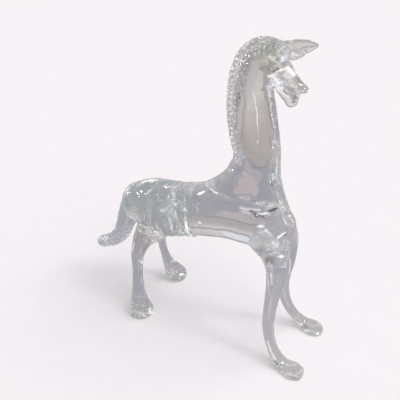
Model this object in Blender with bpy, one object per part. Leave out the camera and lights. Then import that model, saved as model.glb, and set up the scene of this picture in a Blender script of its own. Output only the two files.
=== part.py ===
"""A standing horse of solid clear glass, drawn by hand out of one hot gather.

The horse faces +X, its left side is +Y and +Z is up. The origin is on the surface it stands on,
under the middle of its box. The glass is one piece: limbs are pulled out of the trunk while it is
soft, so they run into it with round fillets. The mane and the tail are bits of hot glass laid on
and pinched with a toothed tool, and they are melted into the same piece.
"""

import math

import bmesh
import bpy
import numpy as np

# Driving sizes, in metres
FIGURE_HEIGHT = 0.300  # soles to the top of the arched crest
FORE_STANCE = 0.065  # across, between the middles of the two fore soles
HIND_STANCE = 0.074  # across, between the middles of the two hind soles
MANE_PITCH = 0.0042  # from one pinched tooth to the next
MANE_TOOTH = 0.0017  # how far a tooth stands above the cut beside it
MANE_SLANT = 0.0030  # how far a tooth leans along the crest from its middle to its foot
TAIL_PITCH = 0.0072  # from one rib of the tail to the next
TAIL_RIB = 0.0011  # how far a rib stands above the hollow beside it

# The pose was drawn for a figure 300 units tall, so a unit is a share of the height
DRAWN_HEIGHT = 300.0
UNIT = FIGURE_HEIGHT / DRAWN_HEIGHT
MIDDLE = 49.5  # along the horse from the heels of the hind feet to the middle of its box

# Stations of each limb in units: along, up, share of the half stance, half depth, half width.
# Depth lies in the upright plane that the horse faces along, and width across it.
TRUNK = (
    (-20, 118, 0, 22, 19),
    (-4, 119, 0, 29, 24),
    (15, 121, 0, 30, 25.5),
    (40, 127, 0, 27, 24),
    (62, 132, 0, 26.5, 23.5),
    (88, 137, 0, 26, 23.5),
    (112, 138, 0, 26.5, 23.5),
    (132, 135, 0, 22, 20),
)
WITHERS = (
    (44, 134, 0, 22, 20),
    (66, 138.5, 0, 24.5, 21),
    (87, 152, 0, 25, 20),
    (101, 170, 0, 23, 18),
    (108, 190, 0, 20, 16),
)
NECK = (
    (118, 138, 0, 32, 22),
    (114, 162, 0, 29.5, 20),
    (112, 184, 0, 24, 17),
    (111, 210, 0, 20.5, 15),
    (107.2, 238, 0, 18, 13.5),
    (103.8, 262, 0, 16.8, 13),
    (109, 280, 0, 16, 12.5),
    (119, 285, 0, 12, 11),
)
HEAD = (
    (112, 281, 0, 12, 11),
    (121, 277.5, 0, 12, 10.5),
    (129, 272, 0, 9.5, 9),
    (136, 267.5, 0, 6.8, 7.5),
    (142.5, 264.5, 0, 4.4, 6),
    (146.5, 263.5, 0, 3.0, 4.5),
)
JAW = (
    (124, 271, 0, 8, 8.5),
    (130.5, 264.5, 0, 8.2, 7.5),
    (135, 258.8, 0, 8.2, 6.5),
    (136.6, 253, 0, 5.4, 5),
)
HIND_LEG_RIGHT = (
    (13, 119, -0.36, 24, 12),
    (8, 105, -0.46, 17, 13),
    (-0.5, 92, -0.57, 11.5, 11),
    (-5.5, 80, -0.66, 8.6, 8.8),
    (-7.6, 68, -0.74, 6.8, 6.8),
    (-6.4, 54, -0.81, 5.8, 5.8),
    (-5.5, 37, -0.88, 6.1, 6.1),
    (-4, 19, -0.93, 8.4, 8.4),
    (-2, 8, -0.97, 12, 12),
    (-0.8, 2.5, -0.98, 13.5, 14),
)
HIND_LEG_LEFT = (
    (13, 118, 0.36, 22, 12),
    (2, 100, 0.48, 15, 11),
    (-7.5, 80, 0.59, 8.2, 8),
    (-12.3, 62, 0.68, 5.2, 5.6),
    (-12.8, 45, 0.75, 4.5, 4.9),
    (-11, 32, 0.81, 4.9, 5.3),
    (-7.6, 20, 0.86, 7.2, 7.4),
    (-3, 10.5, 0.91, 10.2, 11),
    (1.2, 4, 0.95, 11.5, 13),
)
FORE_LEG_RIGHT = (
    (128, 132, -0.34, 21, 13),
    (138.5, 117, -0.42, 15.5, 12),
    (141.8, 104, -0.47, 11, 10),
    (143.6, 89, -0.53, 8.5, 8.2),
    (143.4, 72, -0.6, 7.0, 7.0),
    (143, 54, -0.69, 6.1, 6.2),
    (143.8, 40, -0.76, 5.7, 5.8),
    (146.8, 28, -0.82, 5.3, 5.6),
    (152, 16.2, -0.87, 5.0, 5.8),
    (159, 7.4, -0.91, 5.2, 7),
    (167, 2.6, -0.92, 5.6, 9.5),
    (175.5, 0.8, -0.92, 5.4, 12.8),
    (181.5, 0.3, -0.93, 4.4, 10.2),
)
FORE_LEG_LEFT = (
    (128, 132, 0.34, 21, 13),
    (137, 117, 0.42, 15.5, 12),
    (141, 103, 0.46, 11, 10),
    (142.4, 90, 0.50, 8.2, 8.2),
    (141.6, 76, 0.55, 6.6, 6.8),
    (140.4, 57, 0.64, 5.9, 6.0),
    (142.6, 38, 0.75, 5.6, 5.7),
    (146.8, 25.3, 0.83, 5.2, 5.5),
    (152.6, 15.6, 0.91, 5.2, 5.6),
    (160, 7.4, 0.98, 5.3, 6.4),
    (167.6, 2.8, 1.01, 5.8, 9),
    (175, 1.2, 1.02, 5.4, 11.5),
    (180.8, 0.6, 1.03, 4.4, 9.5),
)
EAR_RIGHT = (
    (118, 288, -0.10, 5.0, 3.5),
    (127, 290, -0.20, 6.2, 2.8),
    (136, 291, -0.29, 5.8, 2.3),
    (142, 291.5, -0.33, 4.0, 1.9),
    (146, 291.5, -0.35, 2.0, 1.5),
)
EAR_LEFT = (
    (118, 288, 0.10, 5.0, 3.5),
    (127, 291, 0.20, 6.4, 2.8),
    (137, 292.5, 0.29, 6.4, 2.3),
    (143.5, 293.5, 0.36, 4.8, 1.9),
    (148.2, 294.3, 0.40, 2.2, 1.5),
)
MANE = (
    (94.5, 193, 0, 3.5, 3.5),
    (92.5, 207, 0, 6, 5.5),
    (90.6, 222, 0, 7.5, 6.6),
    (89.2, 240, 0, 8.5, 7.2),
    (89.6, 257, 0, 9, 7.4),
    (92.6, 273, 0, 9, 7.4),
    (99.8, 285.6, 0, 9, 7.4),
    (110, 291, 0, 9, 7.2),
    (122, 291, 0, 7.5, 6.5),
)
TAIL = (
    (0, 135, 0, 15, 13),
    (-18, 127, 0, 14, 12),
    (-30.5, 112, 0, 12.5, 11),
    (-37.5, 97, 0, 11, 10),
    (-43.5, 83, 0, 10.2, 9.4),
    (-51.5, 67.5, 0, 9.4, 8.8),
    (-62.5, 56, 0, 8.2, 8),
    (-80, 46.5, 0, 7.4, 7.6),
)

DOCK = (
    (8, 126, 0, 22, 18),
    (-12, 125, 0, 17, 14),
    (-26, 114, 0, 11.5, 10.5),
    (-34, 101, 0, 8.5, 8),
)

# How finely the surface is made
RING_SIDES = 24
RING_SPACING = 4.0 * UNIT
CAP_RINGS = 4  # shrinking rings that round off each end of a limb
MELT_GRID = 1.3 * UNIT  # cell of the grid that melts the limbs into one skin
MELT_ROUNDS = 9  # rounds of smoothing, which leave the fillets
BODY_TRIANGLES = 6900
MANE_SIDES = 12
TAIL_SIDES = 16


def clear_scene():
    for thing in list(bpy.data.objects):
        bpy.data.objects.remove(thing)


def placed(stations, half_stance):
    """Stations as rows of along, across, up, half depth and half width, in metres."""
    return np.array(
        [
            ((along - MIDDLE) * UNIT, share * half_stance, up * UNIT, depth * UNIT, width * UNIT)
            for along, up, share, depth, width in stations
        ]
    )


def read_curve(stations, spacing):
    """Rows read at even steps from one smooth curve through the stations."""
    reach = np.linalg.norm(np.diff(stations[:, :3], axis=0), axis=1)
    knots = np.concatenate([[0.0], np.cumsum(reach)])
    slopes = np.gradient(stations, knots, axis=0)
    count = max(2, round(knots[-1] / spacing) + 1)
    distance = np.linspace(0.0, knots[-1], count)
    piece = np.clip(np.searchsorted(knots, distance, "right") - 1, 0, len(knots) - 2)
    length = (knots[piece + 1] - knots[piece])[:, None]
    u = (distance - knots[piece])[:, None] / length
    return (
        (2 * u**3 - 3 * u**2 + 1) * stations[piece]
        + (u**3 - 2 * u**2 + u) * length * slopes[piece]
        + (3 * u**2 - 2 * u**3) * stations[piece + 1]
        + (u**3 - u**2) * length * slopes[piece + 1]
    )


def ring_axes(rows):
    """For each row its direction along the limb, the width axis and the depth axis."""
    along = np.gradient(rows[:, :3], axis=0)
    along /= np.linalg.norm(along, axis=1)[:, None]
    across = np.array([0.0, 1.0, 0.0]) - along * along[:, 1:2]
    across /= np.linalg.norm(across, axis=1)[:, None]
    return along, across, np.cross(along, across)


def end_cap(row, direction):
    """Rings that close a limb like a drop of glass, nearest the limb first, and the tip."""
    reach = min(row[3], row[4])
    rings = []
    for step in range(1, CAP_RINGS + 1):
        turn = math.pi / 2 * step / (CAP_RINGS + 1)
        ring = row.copy()
        ring[:3] += direction * reach * math.sin(turn)
        ring[3:] *= math.cos(turn)
        rings.append(ring)
    return rings, row[:3] + direction * reach


def add_limb(bm, stations, sides=RING_SIDES, spacing=RING_SPACING, tooth=0.0, slant=0.0):
    """Adds one closed limb to the mesh.

    A tooth swells the sides of every second ring, and the slant slides the sides of each ring
    back along the limb, so that the teeth lean.
    """
    rows = read_curve(stations, spacing)
    along, across, deep = ring_axes(rows)
    rows[::2, 4] += tooth / 2
    rows[1::2, 4] -= tooth / 2
    front, first_tip = end_cap(rows[0], -along[0])
    back, last_tip = end_cap(rows[-1], along[-1])
    rows = np.array(front[::-1] + list(rows) + back)
    along, across, deep = (
        np.pad(axis, ((CAP_RINGS, CAP_RINGS), (0, 0)), "edge") for axis in (along, across, deep)
    )
    widest = rows[:, 4].max()
    turns = [2 * math.pi * side / sides for side in range(sides)]
    rings = []
    for row, ahead, wide_axis, deep_axis in zip(rows, along, across, deep):
        ring = []
        for turn in turns:
            point = row[:3] + deep_axis * row[3] * math.cos(turn)
            point += wide_axis * row[4] * math.sin(turn)
            point -= ahead * slant * (1 - abs(math.sin(turn))) * row[4] / widest
            ring.append(bm.verts.new(point))
        rings.append(ring)
    for below, above in zip(rings, rings[1:]):
        for side in range(sides):
            after = (side + 1) % sides
            bm.faces.new((below[side], below[after], above[after], above[side]))
    for ring, tip in ((rings[0], first_tip), (rings[-1], last_tip)):
        pole = bm.verts.new(tip)
        for side in range(sides):
            bm.faces.new((ring[side], ring[(side + 1) % sides], pole))


def finished(bm, name):
    bmesh.ops.recalc_face_normals(bm, faces=bm.faces)
    mesh = bpy.data.meshes.new(name)
    bm.to_mesh(mesh)
    bm.free()
    thing = bpy.data.objects.new(name, mesh)
    bpy.context.scene.collection.objects.link(thing)
    return thing


def clear_glass():
    glass = bpy.data.materials.new("clear_glass")
    glass.use_nodes = True
    shader = glass.node_tree.nodes["Principled BSDF"]
    shader.inputs["Base Color"].default_value = (0.86, 0.88, 0.88, 1.0)
    shader.inputs["Metallic"].default_value = 0.0
    shader.inputs["Roughness"].default_value = 0.03
    shader.inputs["IOR"].default_value = 1.5
    shader.inputs["Transmission Weight"].default_value = 1.0
    return glass


def triangle_count(thing):
    graph = bpy.context.evaluated_depsgraph_get()
    mesh = thing.evaluated_get(graph).data
    mesh.calc_loop_triangles()
    return len(mesh.loop_triangles)


def pulled_body():
    """Trunk, neck, head, ears, legs and the root of the tail, melted into one skin."""
    bm = bmesh.new()
    half_fore = FORE_STANCE / 2
    half_hind = HIND_STANCE / 2
    for stations in (TRUNK, WITHERS, NECK, HEAD, JAW, EAR_RIGHT, EAR_LEFT, DOCK):
        add_limb(bm, placed(stations, half_fore))
    for stations in (FORE_LEG_RIGHT, FORE_LEG_LEFT):
        add_limb(bm, placed(stations, half_fore))
    for stations in (HIND_LEG_RIGHT, HIND_LEG_LEFT):
        add_limb(bm, placed(stations, half_hind))
    body = finished(bm, "glass_horse")
    melt = body.modifiers.new("melt", "REMESH")
    melt.mode = "VOXEL"
    melt.voxel_size = MELT_GRID
    soften = body.modifiers.new("soften", "SMOOTH")
    soften.factor = 0.5
    soften.iterations = MELT_ROUNDS
    bpy.context.view_layer.update()
    thin = body.modifiers.new("thin", "DECIMATE")
    thin.ratio = min(1.0, BODY_TRIANGLES / triangle_count(body))
    return body


def ribbed(name, stations, sides, pitch, tooth, slant):
    """A strip of glass pinched at even steps, so that crests and cuts follow each other."""
    bm = bmesh.new()
    add_limb(bm, placed(stations, 0.0), sides, pitch / 2, tooth, slant)
    return helper(bm, name)


def helper(bm, name):
    thing = finished(bm, name)
    thing.hide_render = True
    thing.display_type = "WIRE"
    return thing


def plate():
    """The flat plate that the feet were pressed on. They are drawn a little way into it."""
    bm = bmesh.new()
    bmesh.ops.create_cube(bm, size=1.0)
    side = 2 * FIGURE_HEIGHT
    bmesh.ops.scale(bm, vec=(side, side, side), verts=bm.verts)
    bmesh.ops.translate(bm, vec=(0, 0, -side / 2), verts=bm.verts)
    return helper(bm, "plate")


def combine(body, other, operation):
    change = body.modifiers.new(other.name, "BOOLEAN")
    change.operation = operation
    change.solver = "EXACT"
    change.object = other


def main():
    clear_scene()
    body = pulled_body()
    combine(body, ribbed("mane", MANE, MANE_SIDES, MANE_PITCH, MANE_TOOTH, MANE_SLANT), "UNION")
    combine(body, ribbed("tail", TAIL, TAIL_SIDES, TAIL_PITCH, TAIL_RIB, 0.0), "UNION")
    combine(body, plate(), "DIFFERENCE")
    body.data.materials.append(clear_glass())
    body.data.shade_smooth()


main()
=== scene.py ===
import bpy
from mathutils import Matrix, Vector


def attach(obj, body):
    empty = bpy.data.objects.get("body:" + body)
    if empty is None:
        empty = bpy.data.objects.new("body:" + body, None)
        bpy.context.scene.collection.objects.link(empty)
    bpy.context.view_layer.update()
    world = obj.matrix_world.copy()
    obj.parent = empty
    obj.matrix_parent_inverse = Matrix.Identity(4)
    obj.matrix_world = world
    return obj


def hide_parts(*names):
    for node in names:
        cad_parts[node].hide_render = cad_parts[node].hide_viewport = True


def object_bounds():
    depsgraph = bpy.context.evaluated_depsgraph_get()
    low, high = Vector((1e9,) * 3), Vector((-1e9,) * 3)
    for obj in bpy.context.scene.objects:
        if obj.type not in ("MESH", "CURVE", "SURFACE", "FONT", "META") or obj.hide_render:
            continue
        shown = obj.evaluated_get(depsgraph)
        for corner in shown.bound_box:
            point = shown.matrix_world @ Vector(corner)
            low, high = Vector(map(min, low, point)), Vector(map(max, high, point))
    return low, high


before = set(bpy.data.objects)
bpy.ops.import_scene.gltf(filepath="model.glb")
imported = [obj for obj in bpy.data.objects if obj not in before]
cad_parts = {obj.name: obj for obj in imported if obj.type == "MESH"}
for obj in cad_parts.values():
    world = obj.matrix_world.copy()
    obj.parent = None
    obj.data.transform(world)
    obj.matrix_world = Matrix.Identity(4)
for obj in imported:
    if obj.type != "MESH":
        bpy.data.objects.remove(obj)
cad_box = [list(corner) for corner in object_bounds()]

import math

import bmesh
import bpy
import numpy as np
from mathutils import Matrix, Vector, noise

# The barrel and neck. The whole horse is one gather of clear soda glass, pulled out hot with
# pincers, so every limb is a soft swelling that runs into the next. Each limb is drawn by a few
# stations: along, up, share of the half stance, half depth and half width, in millimetres.
MM = 0.001
MIDDLE = 49.5  # from the hind soles to the middle of the standing horse
HALF_FORE_STANCE = 32.5
HALF_HIND_STANCE = 37.0
RING_SIDES = 48
RING_SPACING = 2 * MM
CAP_RINGS = 6
TRUNK = (
    (-20, 118, 0, 22, 19),
    (-4, 119, 0, 29, 24),
    (15, 121, 0, 30, 25.5),
    (40, 127, 0, 27, 24),
    (62, 132, 0, 26.5, 23.5),
    (88, 137, 0, 26, 23.5),
    (112, 138, 0, 26.5, 23.5),
    (132, 135, 0, 22, 20),
)
WITHERS = (
    (44, 134, 0, 22, 20),
    (66, 138.5, 0, 24.5, 21),
    (87, 152, 0, 25, 20),
    (101, 170, 0, 23, 18),
    (108, 190, 0, 20, 16),
)
NECK = (
    (117.6, 138, 0, 31.6, 22),
    (112, 162, 0, 27.5, 20),
    (110.6, 184, 0, 22.9, 17),
    (110.7, 210, 0, 20.2, 15),
    (107.2, 238, 0, 18, 13.5),
    (103.8, 262, 0, 16.8, 13),
    (109, 280, 0, 16, 12.5),
    (119, 285, 0, 12, 11),
)


def placed(stations, half_stance=HALF_FORE_STANCE):
    """The stations in metres on the frame's axes: place, half depth and half width."""
    rows = [
        (along - MIDDLE, share * half_stance, up, deep, wide)
        for along, up, share, deep, wide in stations
    ]
    return np.array(rows) * MM


def read_curve(stations, spacing):
    """Rows read at even steps from a smooth curve through the stations."""
    reach = np.linalg.norm(np.diff(stations[:, :3], axis=0), axis=1)
    knots = np.concatenate([[0.0], np.cumsum(reach)])
    slopes = np.gradient(stations, knots, axis=0)
    count = max(2, round(knots[-1] / spacing) + 1)
    distance = np.linspace(0.0, knots[-1], count)
    piece = np.clip(np.searchsorted(knots, distance, "right") - 1, 0, len(knots) - 2)
    length = (knots[piece + 1] - knots[piece])[:, None]
    u = (distance - knots[piece])[:, None] / length
    return (
        (2 * u**3 - 3 * u**2 + 1) * stations[piece]
        + (u**3 - 2 * u**2 + u) * length * slopes[piece]
        + (3 * u**2 - 2 * u**3) * stations[piece + 1]
        + (u**3 - u**2) * length * slopes[piece + 1]
    )


def ring_axes(rows):
    """The run of the limb at each row, its sideways axis and its deep one."""
    run = np.gradient(rows[:, :3], axis=0)
    run /= np.linalg.norm(run, axis=1)[:, None]
    wide = np.array([0.0, 1.0, 0.0]) - run * run[:, 1:2]
    wide /= np.linalg.norm(wide, axis=1)[:, None]
    return run, wide, np.cross(run, wide)


def end_cap(row, direction):
    """Shrinking rings that round a limb's end off, and the pole they close on."""
    reach = min(row[3], row[4])
    rings = []
    for step in range(1, CAP_RINGS + 1):
        turn = math.pi / 2 * step / (CAP_RINGS + 1)
        ring = row.copy()
        ring[:3] += direction * reach * math.sin(turn)
        ring[3:] *= math.cos(turn)
        rings.append(ring)
    return rings, row[:3] + direction * reach


def add_limb(gather, stations):
    """Loft one limb through its stations into the gather, closed at both ends."""
    rows = read_curve(stations, RING_SPACING)
    run, wide, deep = ring_axes(rows)
    front, first_pole = end_cap(rows[0], -run[0])
    back, last_pole = end_cap(rows[-1], run[-1])
    rows = np.array(front[::-1] + list(rows) + back)
    wide, deep = (np.pad(axis, ((CAP_RINGS, CAP_RINGS), (0, 0)), "edge") for axis in (wide, deep))
    turns = [2 * math.pi * side / RING_SIDES for side in range(RING_SIDES)]
    rings = []
    for row, wide_axis, deep_axis in zip(rows, wide, deep):
        spots = [
            row[:3] + deep_axis * row[3] * math.cos(turn) + wide_axis * row[4] * math.sin(turn)
            for turn in turns
        ]
        rings.append([gather.verts.new(spot) for spot in spots])
    for below, above in zip(rings, rings[1:]):
        for side in range(RING_SIDES):
            after = (side + 1) % RING_SIDES
            gather.faces.new((below[side], below[after], above[after], above[side]))
    for ring, pole_place in ((rings[0], first_pole), (rings[-1], last_pole)):
        pole = gather.verts.new(pole_place)
        for side in range(RING_SIDES):
            gather.faces.new((ring[side], ring[(side + 1) % RING_SIDES], pole))


gather = bmesh.new()
for stations in (TRUNK, WITHERS, NECK):
    add_limb(gather, placed(stations))

# The head. A blunt wedge bent down from the neck, with a lobe of glass pulled down behind the
# chin for the jaw, so the mouth stays open, and two ears drawn out to leaf shapes in front.
HEAD = (
    (112, 281, 0, 12, 11),
    (121, 277.5, 0, 12, 10.5),
    (129, 272, 0, 9.5, 9),
    (136, 267.5, 0, 6.8, 7.5),
    (142.5, 264.5, 0, 4.4, 6),
    (146.5, 263.5, 0, 3.0, 4.5),
)
JAW = (
    (124, 271, 0, 8, 8.5),
    (130.5, 264.5, 0, 8.2, 7.5),
    (135, 258.8, 0, 8.2, 6.5),
    (136.6, 253, 0, 5.4, 5),
)
EAR_RIGHT = (
    (118, 288, -0.10, 5.0, 3.5),
    (127, 290, -0.20, 6.2, 2.8),
    (136, 291, -0.29, 5.8, 2.3),
    (142, 291.5, -0.33, 4.0, 1.9),
    (146, 291.5, -0.35, 2.0, 1.5),
)
EAR_LEFT = (
    (118, 288, 0.10, 5.0, 3.5),
    (127, 291, 0.20, 6.4, 2.8),
    (137, 292.5, 0.29, 6.4, 2.3),
    (143.5, 293.5, 0.36, 4.8, 1.9),
    (148.2, 294.3, 0.40, 2.2, 1.5),
)
for stations in (HEAD, JAW, EAR_RIGHT, EAR_LEFT):
    add_limb(gather, placed(stations))

# The legs. Each is pulled out of the barrel to a thin shank and pressed on the marver while
# soft, so it ends in a flared foot: round behind, long and flat in front.
HIND_LEG_RIGHT = (
    (13, 119, -0.36, 24, 12),
    (8, 105, -0.46, 17, 13),
    (-0.5, 92, -0.57, 11.5, 11),
    (-5.5, 80, -0.66, 8.6, 8.8),
    (-7.6, 68, -0.74, 6.8, 6.8),
    (-6.4, 54, -0.81, 5.8, 5.8),
    (-5.5, 37, -0.88, 6.1, 6.1),
    (-4, 19, -0.93, 8.4, 8.4),
    (-2, 8, -0.97, 12, 12),
    (-0.8, 2.5, -0.98, 13.5, 14),
)
HIND_LEG_LEFT = (
    (13, 118, 0.36, 22, 12),
    (2, 100, 0.48, 15, 11),
    (-7.5, 80, 0.59, 8.2, 8),
    (-12.3, 62, 0.68, 5.2, 5.6),
    (-12.8, 45, 0.75, 4.5, 4.9),
    (-11, 32, 0.81, 4.9, 5.3),
    (-7.6, 20, 0.86, 7.2, 7.4),
    (-3, 10.5, 0.91, 10.2, 11),
    (1.2, 4, 0.95, 11.5, 13),
)
FORE_LEG_RIGHT = (
    (128, 132, -0.34, 21, 13),
    (139.3, 117, -0.42, 14.6, 12),
    (142.6, 104, -0.47, 10.2, 10),
    (143.8, 89, -0.53, 8.3, 8.2),
    (143.4, 72, -0.6, 7.0, 7.0),
    (143, 54, -0.69, 6.1, 6.2),
    (143.8, 40, -0.76, 5.7, 5.8),
    (146.8, 28, -0.82, 5.3, 5.6),
    (152, 16.2, -0.87, 5.0, 5.8),
    (159, 7.4, -0.91, 5.2, 7),
    (167, 2.4, -0.945, 5.2, 8.7),
    (175.5, 0.8, -0.957, 4.9, 11.6),
    (181.5, 0.3, -0.953, 4.2, 9.4),
)
FORE_LEG_LEFT = (
    (128, 132, 0.34, 21, 13),
    (137, 117, 0.42, 15.5, 12),
    (141, 103, 0.46, 11, 10),
    (142.4, 90, 0.50, 8.2, 8.2),
    (141.6, 76, 0.55, 6.6, 6.8),
    (140.4, 57, 0.64, 5.9, 6.0),
    (142.6, 38, 0.75, 5.6, 5.7),
    (146.8, 25.3, 0.83, 5.2, 5.5),
    (152.6, 15.6, 0.91, 5.2, 5.6),
    (160, 7.4, 0.98, 5.3, 6.4),
    (167.6, 2.8, 1.01, 5.8, 9),
    (175, 1.2, 1.02, 5.4, 11.5),
    (180.8, 0.6, 1.03, 4.4, 9.5),
)
for stations in (HIND_LEG_RIGHT, HIND_LEG_LEFT):
    add_limb(gather, placed(stations, HALF_HIND_STANCE))
for stations in (FORE_LEG_RIGHT, FORE_LEG_LEFT):
    add_limb(gather, placed(stations))

# The tail and mane. The tail is a drawn rope of glass that hangs from the rump and flicks up at
# its end. The mane is a thick bead laid down the crest of the neck, ready for the pincers.
DOCK = (
    (8, 126, 0, 22, 18),
    (-12, 125, 0, 17, 14),
    (-26, 114, 0, 11.5, 10.5),
    (-34, 101, 0, 8.5, 8),
)
TAIL = (
    (0, 135, 0, 15, 13),
    (-18, 127, 0, 14, 12),
    (-30.5, 112, 0, 12.5, 11),
    (-37.5, 97, 0, 11, 10),
    (-43.5, 83, 0, 10.2, 9.4),
    (-51.5, 67.5, 0, 9.4, 8.8),
    (-62.5, 56, 0, 8.2, 8),
    (-80, 46.5, 0, 7.4, 7.6),
)
MANE = (
    (94.5, 193, 0, 3.5, 3.5),
    (92.5, 207, 0, 6, 5.5),
    (90.6, 222, 0, 7.5, 6.6),
    (89.2, 240, 0, 8.5, 7.2),
    (89.6, 257, 0, 9, 7.4),
    (92.6, 273, 0, 9, 7.4),
    (99.8, 285.6, 0, 9, 7.4),
    (110, 291, 0, 9, 7.2),
    (122, 291, 0, 7.5, 6.5),
)
for stations in (DOCK, TAIL, MANE):
    add_limb(gather, placed(stations))

# The melt. All the limbs run together into one skin with soft fillets, as hot glass does. The
# skin's points are then read once, in the same millimetres that the limbs are drawn in.
MELT_GRID = 1.08 * MM
MELT_ROUNDS = 14
MELT_SHARE = 0.5  # how far each round draws a point towards its neighbours
LINE_STEP = 0.5
bmesh.ops.recalc_face_normals(gather, faces=gather.faces)
drawn = bpy.data.meshes.new("horse_drawn")
gather.to_mesh(drawn)
gather.free()
horse = bpy.data.objects.new("horse", drawn)
bpy.context.scene.collection.objects.link(horse)
melt = horse.modifiers.new("melt", "REMESH")
melt.mode = "VOXEL"
melt.voxel_size = MELT_GRID
soften = horse.modifiers.new("soften", "SMOOTH")
soften.factor = MELT_SHARE
soften.iterations = MELT_ROUNDS
skin = bpy.data.meshes.new_from_object(horse.evaluated_get(bpy.context.evaluated_depsgraph_get()))
skin.name = "horse"
horse.modifiers.clear()
horse.data = skin


def skin_values(name):
    """One place or direction for each point of the skin."""
    values = np.empty(len(skin.vertices) * 3, np.float32)
    skin.vertices.foreach_get(name, values)
    return values.reshape(-1, 3).astype(float)


point = skin_values("co")
outward = skin_values("normal")
drawn_place = point / MM + np.array([MIDDLE, 0.0, 0.0])
along, across, up = drawn_place.T
push = np.zeros(len(point))
crease_shade_paint = np.zeros(len(point))
painted_glint = np.zeros(len(point))


def fade(low, high, value):
    """0 at low, 1 at high, smooth between."""
    share = np.clip((value - low) / (high - low), 0, 1)
    return share * share * (3 - 2 * share)


def ripple(grain, seed):
    """Smooth waves over the skin, as long along each axis as its grain in millimetres."""
    return np.array([noise.noise(Vector(place)) for place in drawn_place / np.array(grain) + seed])


def beside_curve(index, stations):
    """Each point's way down the limb, its height over and distance from the line, and its length."""
    line = read_curve(placed(stations), LINE_STEP * MM)[:, :3] / MM + np.array([MIDDLE, 0.0, 0.0])
    gap = drawn_place[index][:, None, :] - line[None, :, :]
    closest = np.linalg.norm(gap, axis=2).argmin(1)
    gap = gap[np.arange(len(index)), closest]
    run = np.gradient(line, axis=0)
    run /= np.linalg.norm(run, axis=1)[:, None]
    crest = np.cross(run, np.array([0.0, -1.0, 0.0]))
    rise = (gap * crest[closest]).sum(1)
    return closest * LINE_STEP, rise, np.linalg.norm(gap, axis=1), len(line) * LINE_STEP


def near_line(points, width):
    """1 on the line through the points, falling off to 0 over its half width."""
    near = np.zeros(len(point))
    for start, end in zip(points, points[1:]):
        start, end = np.array(start, float), np.array(end, float)
        run = end - start
        share = np.clip((drawn_place - start) @ run / (run @ run), 0, 1)
        gap = np.linalg.norm(drawn_place - start - share[:, None] * run, axis=1)
        near = np.maximum(near, np.exp(-((gap / width) ** 2)))
    return near


def groove(points, width, depth, show=1.0):
    """Press a line of the given half width and depth into the skin, and set how strongly it shows painted
    shade, or at full strength a painted clear core.
    """
    near = near_line(points, width)
    push[:] -= depth * near
    crease_shade_paint[:] = np.maximum(crease_shade_paint, near * show)


def paint_highlight(points, width, strength):
    """Paint a highlight along the line through the points: a glow where a fold's lip would catch light."""
    painted_glint[:] = np.maximum(painted_glint, near_line(points, width) * strength)


# The mane's teeth. The bead is squeezed from both sides with small toothed pincers, which leave
# rows of pillows with sharp creases between them, and a smooth rim along the top of the crest. The
# pillow tops carry painted glints, and the creases between them painted shade.
TOOTH_PITCH = 4.4
TOOTH_RISE = 4.6
TOOTH_DEPTH = 1.5
TOOTH_MIDDLE = 0.6  # the share of a pillow's swell that lies below the bead's own skin
TOOTH_SLIP = 0.5
SLIP_RIPPLE = ((8, 8, 8), 6.1)
MANE_ABOVE = 185
MANE_BEHIND = 132
RIM_SIDE = (1.6, 4.0)
RIM_TOP = (3.5, 7.0)
BEAD_REACH = (16, 18.5)
BEAD_FOOT = (-14.5, -11.5)
BEAD_START = (0, 8)
BEAD_END = (2, 10)
PILLOW_TOP = (0.65, 0.95)
PILLOW_CREASE = (0.30, 0.05)
TOP_GLINT = 0.45
FLANK_GLINT = 0.5
FLANK_GLINT_HEIGHTS = (290, 275)
GLINT_RIPPLE = ((2.6, 2.6, 2.6), 4.4)
GLINT_BAND = (-0.2, 0.15)
MANE_CREASE_PAINTED_SHADE = 0.19
index = np.where((up > MANE_ABOVE) & (along < MANE_BEHIND))[0]
step, rise, reach, length = beside_curve(index, MANE)
flank = fade(*RIM_SIDE, np.abs(across[index])) * (1 - fade(*BEAD_REACH, reach)) * fade(*BEAD_FOOT, rise)
flank *= fade(*BEAD_START, step) * fade(*BEAD_END, length - step) * (1 - fade(*RIM_TOP, rise))
row = np.floor(rise / TOOTH_RISE)
slip = TOOTH_SLIP * ripple(*SLIP_RIPPLE)[index]
pillow = np.abs(np.sin(math.pi * (step / TOOTH_PITCH + 0.5 * (row % 2) + slip)))
pillow *= np.abs(np.sin(math.pi * (rise / TOOTH_RISE + slip)))
push[index] += TOOTH_DEPTH * (np.sqrt(pillow) - TOOTH_MIDDLE) * flank
painted_glint_patches = fade(*GLINT_BAND, ripple(*GLINT_RIPPLE)[index])
painted_glint[index] = TOP_GLINT + FLANK_GLINT * fade(*FLANK_GLINT_HEIGHTS, up[index])
painted_glint[index] *= fade(*PILLOW_TOP, pillow) * flank * painted_glint_patches
crease_shade_paint[index] = MANE_CREASE_PAINTED_SHADE * fade(*PILLOW_CREASE, pillow) * flank

# The tail's ribs. The rope of the tail is rolled over a ribbed plate while soft, so faint rings
# run round it, close together and a little uneven.
RIB_PITCH = 4.8
RIB_DEPTH = 0.2
RIB_WANDER = 2  # how far, in turns of the wave's angle, the rings stray from even steps
RIB_WANDER_LENGTH = 9
TAIL_BEHIND = 5
TAIL_BELOW = 125
TAIL_SIDE = 14
ROPE_REACH = (11.5, 13.5)
ROPE_START = (40, 60)
index = np.where((along < TAIL_BEHIND) & (up < TAIL_BELOW) & (np.abs(across) < TAIL_SIDE))[0]
step, rise, reach, length = beside_curve(index, TAIL)
rope = (1 - fade(*ROPE_REACH, reach)) * fade(*ROPE_START, step)
ring_angle = 2 * math.pi * step / RIB_PITCH + RIB_WANDER * np.sin(step / RIB_WANDER_LENGTH)
push[index] += RIB_DEPTH * np.cos(ring_angle) * rope
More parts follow.
